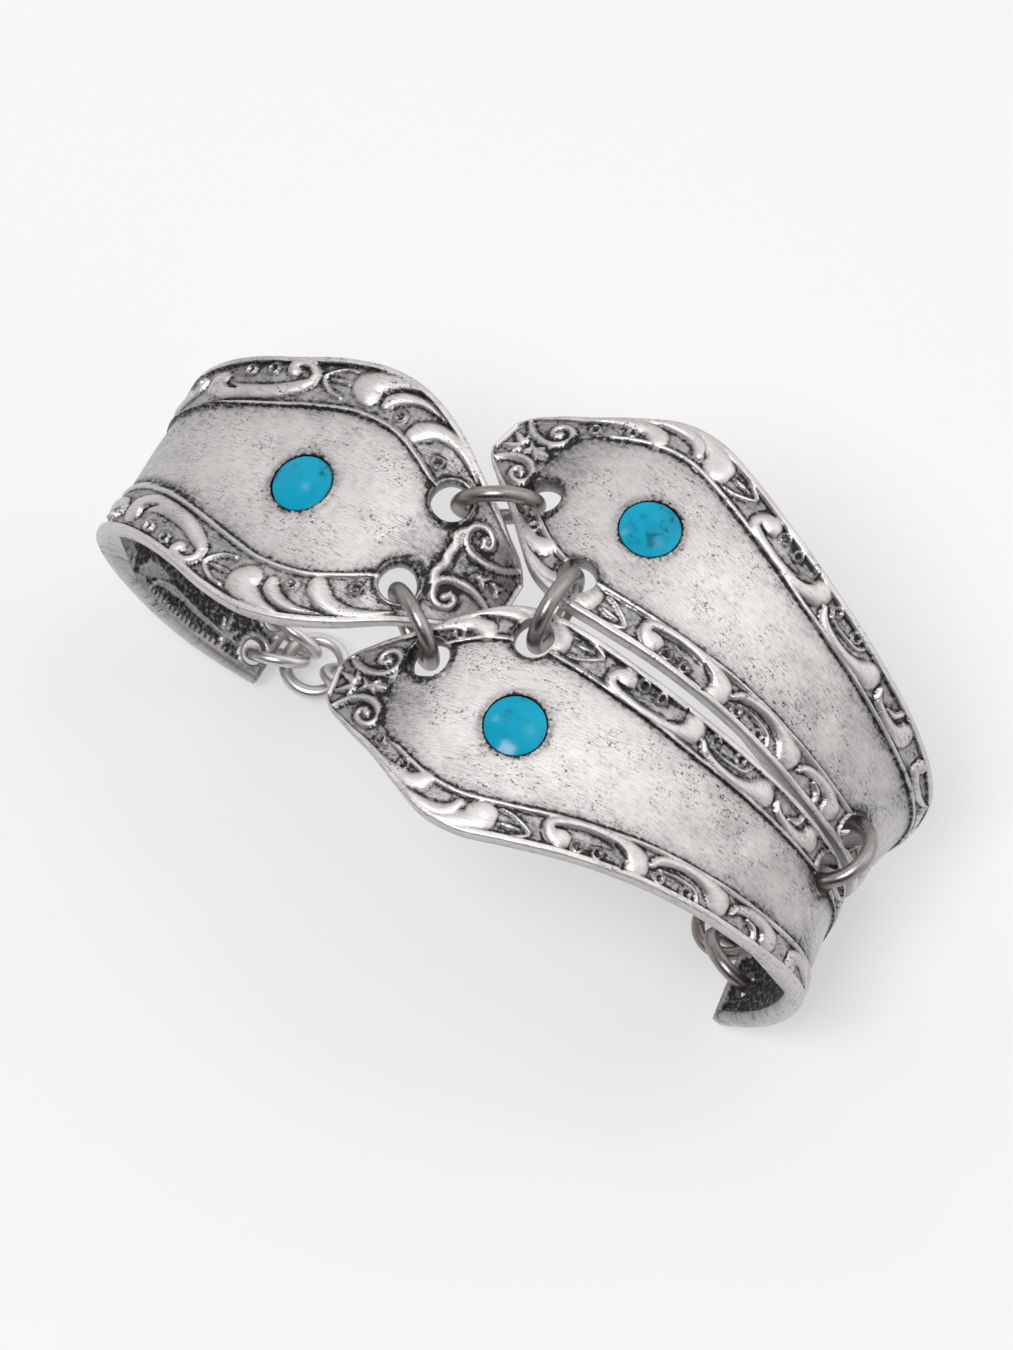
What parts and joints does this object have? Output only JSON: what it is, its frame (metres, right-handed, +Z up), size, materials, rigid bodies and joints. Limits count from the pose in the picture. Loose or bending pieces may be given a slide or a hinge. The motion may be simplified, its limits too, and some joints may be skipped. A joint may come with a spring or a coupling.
{
  "type": "bracelet",
  "caption": "Bracelet of bent silver spoon-handle plates with scroll relief and flush turquoise cabochons, joined by jump rings and a short chain.",
  "frame": {"origin": "centre of the footprint on the surface the bracelet stands on", "axes": "+X from the single left plate to the pair of plates, +Y from the near plate to the far one, +Z up"},
  "size_m": [0.0671, 0.0392, 0.041],
  "materials": {
    "silver": "cast silver, satin and finely scratched, dark in the recesses",
    "turquoise": "polished turquoise cabochon with fine dark veins",
    "dark_metal": "smooth dark gunmetal wire",
    "bright_silver": "polished silver wire"
  },
  "bodies": {
    "root": {"plate_left": "silver", "plate_back": "silver", "plate_front": "silver", "stone_left": "turquoise", "stone_back": "turquoise", "stone_front": "turquoise", "ring_left_back": "dark_metal", "ring_left_front": "dark_metal", "ring_pair_top": "dark_metal", "ring_pair_side": "dark_metal", "ring_end_front": "dark_metal", "ring_end_back": "dark_metal", "ring_link_back": "dark_metal", "ring_foot_front": "bright_silver", "ring_foot_back": "bright_silver", "ring_hub_left": "bright_silver", "ring_hub_right": "dark_metal", "chain_1": "bright_silver", "chain_2": "bright_silver", "chain_3": "bright_silver", "chain_4": "bright_silver", "chain_5": "bright_silver", "chain_6": "bright_silver", "clasp": "bright_silver"}
  },
  "joints": []
}
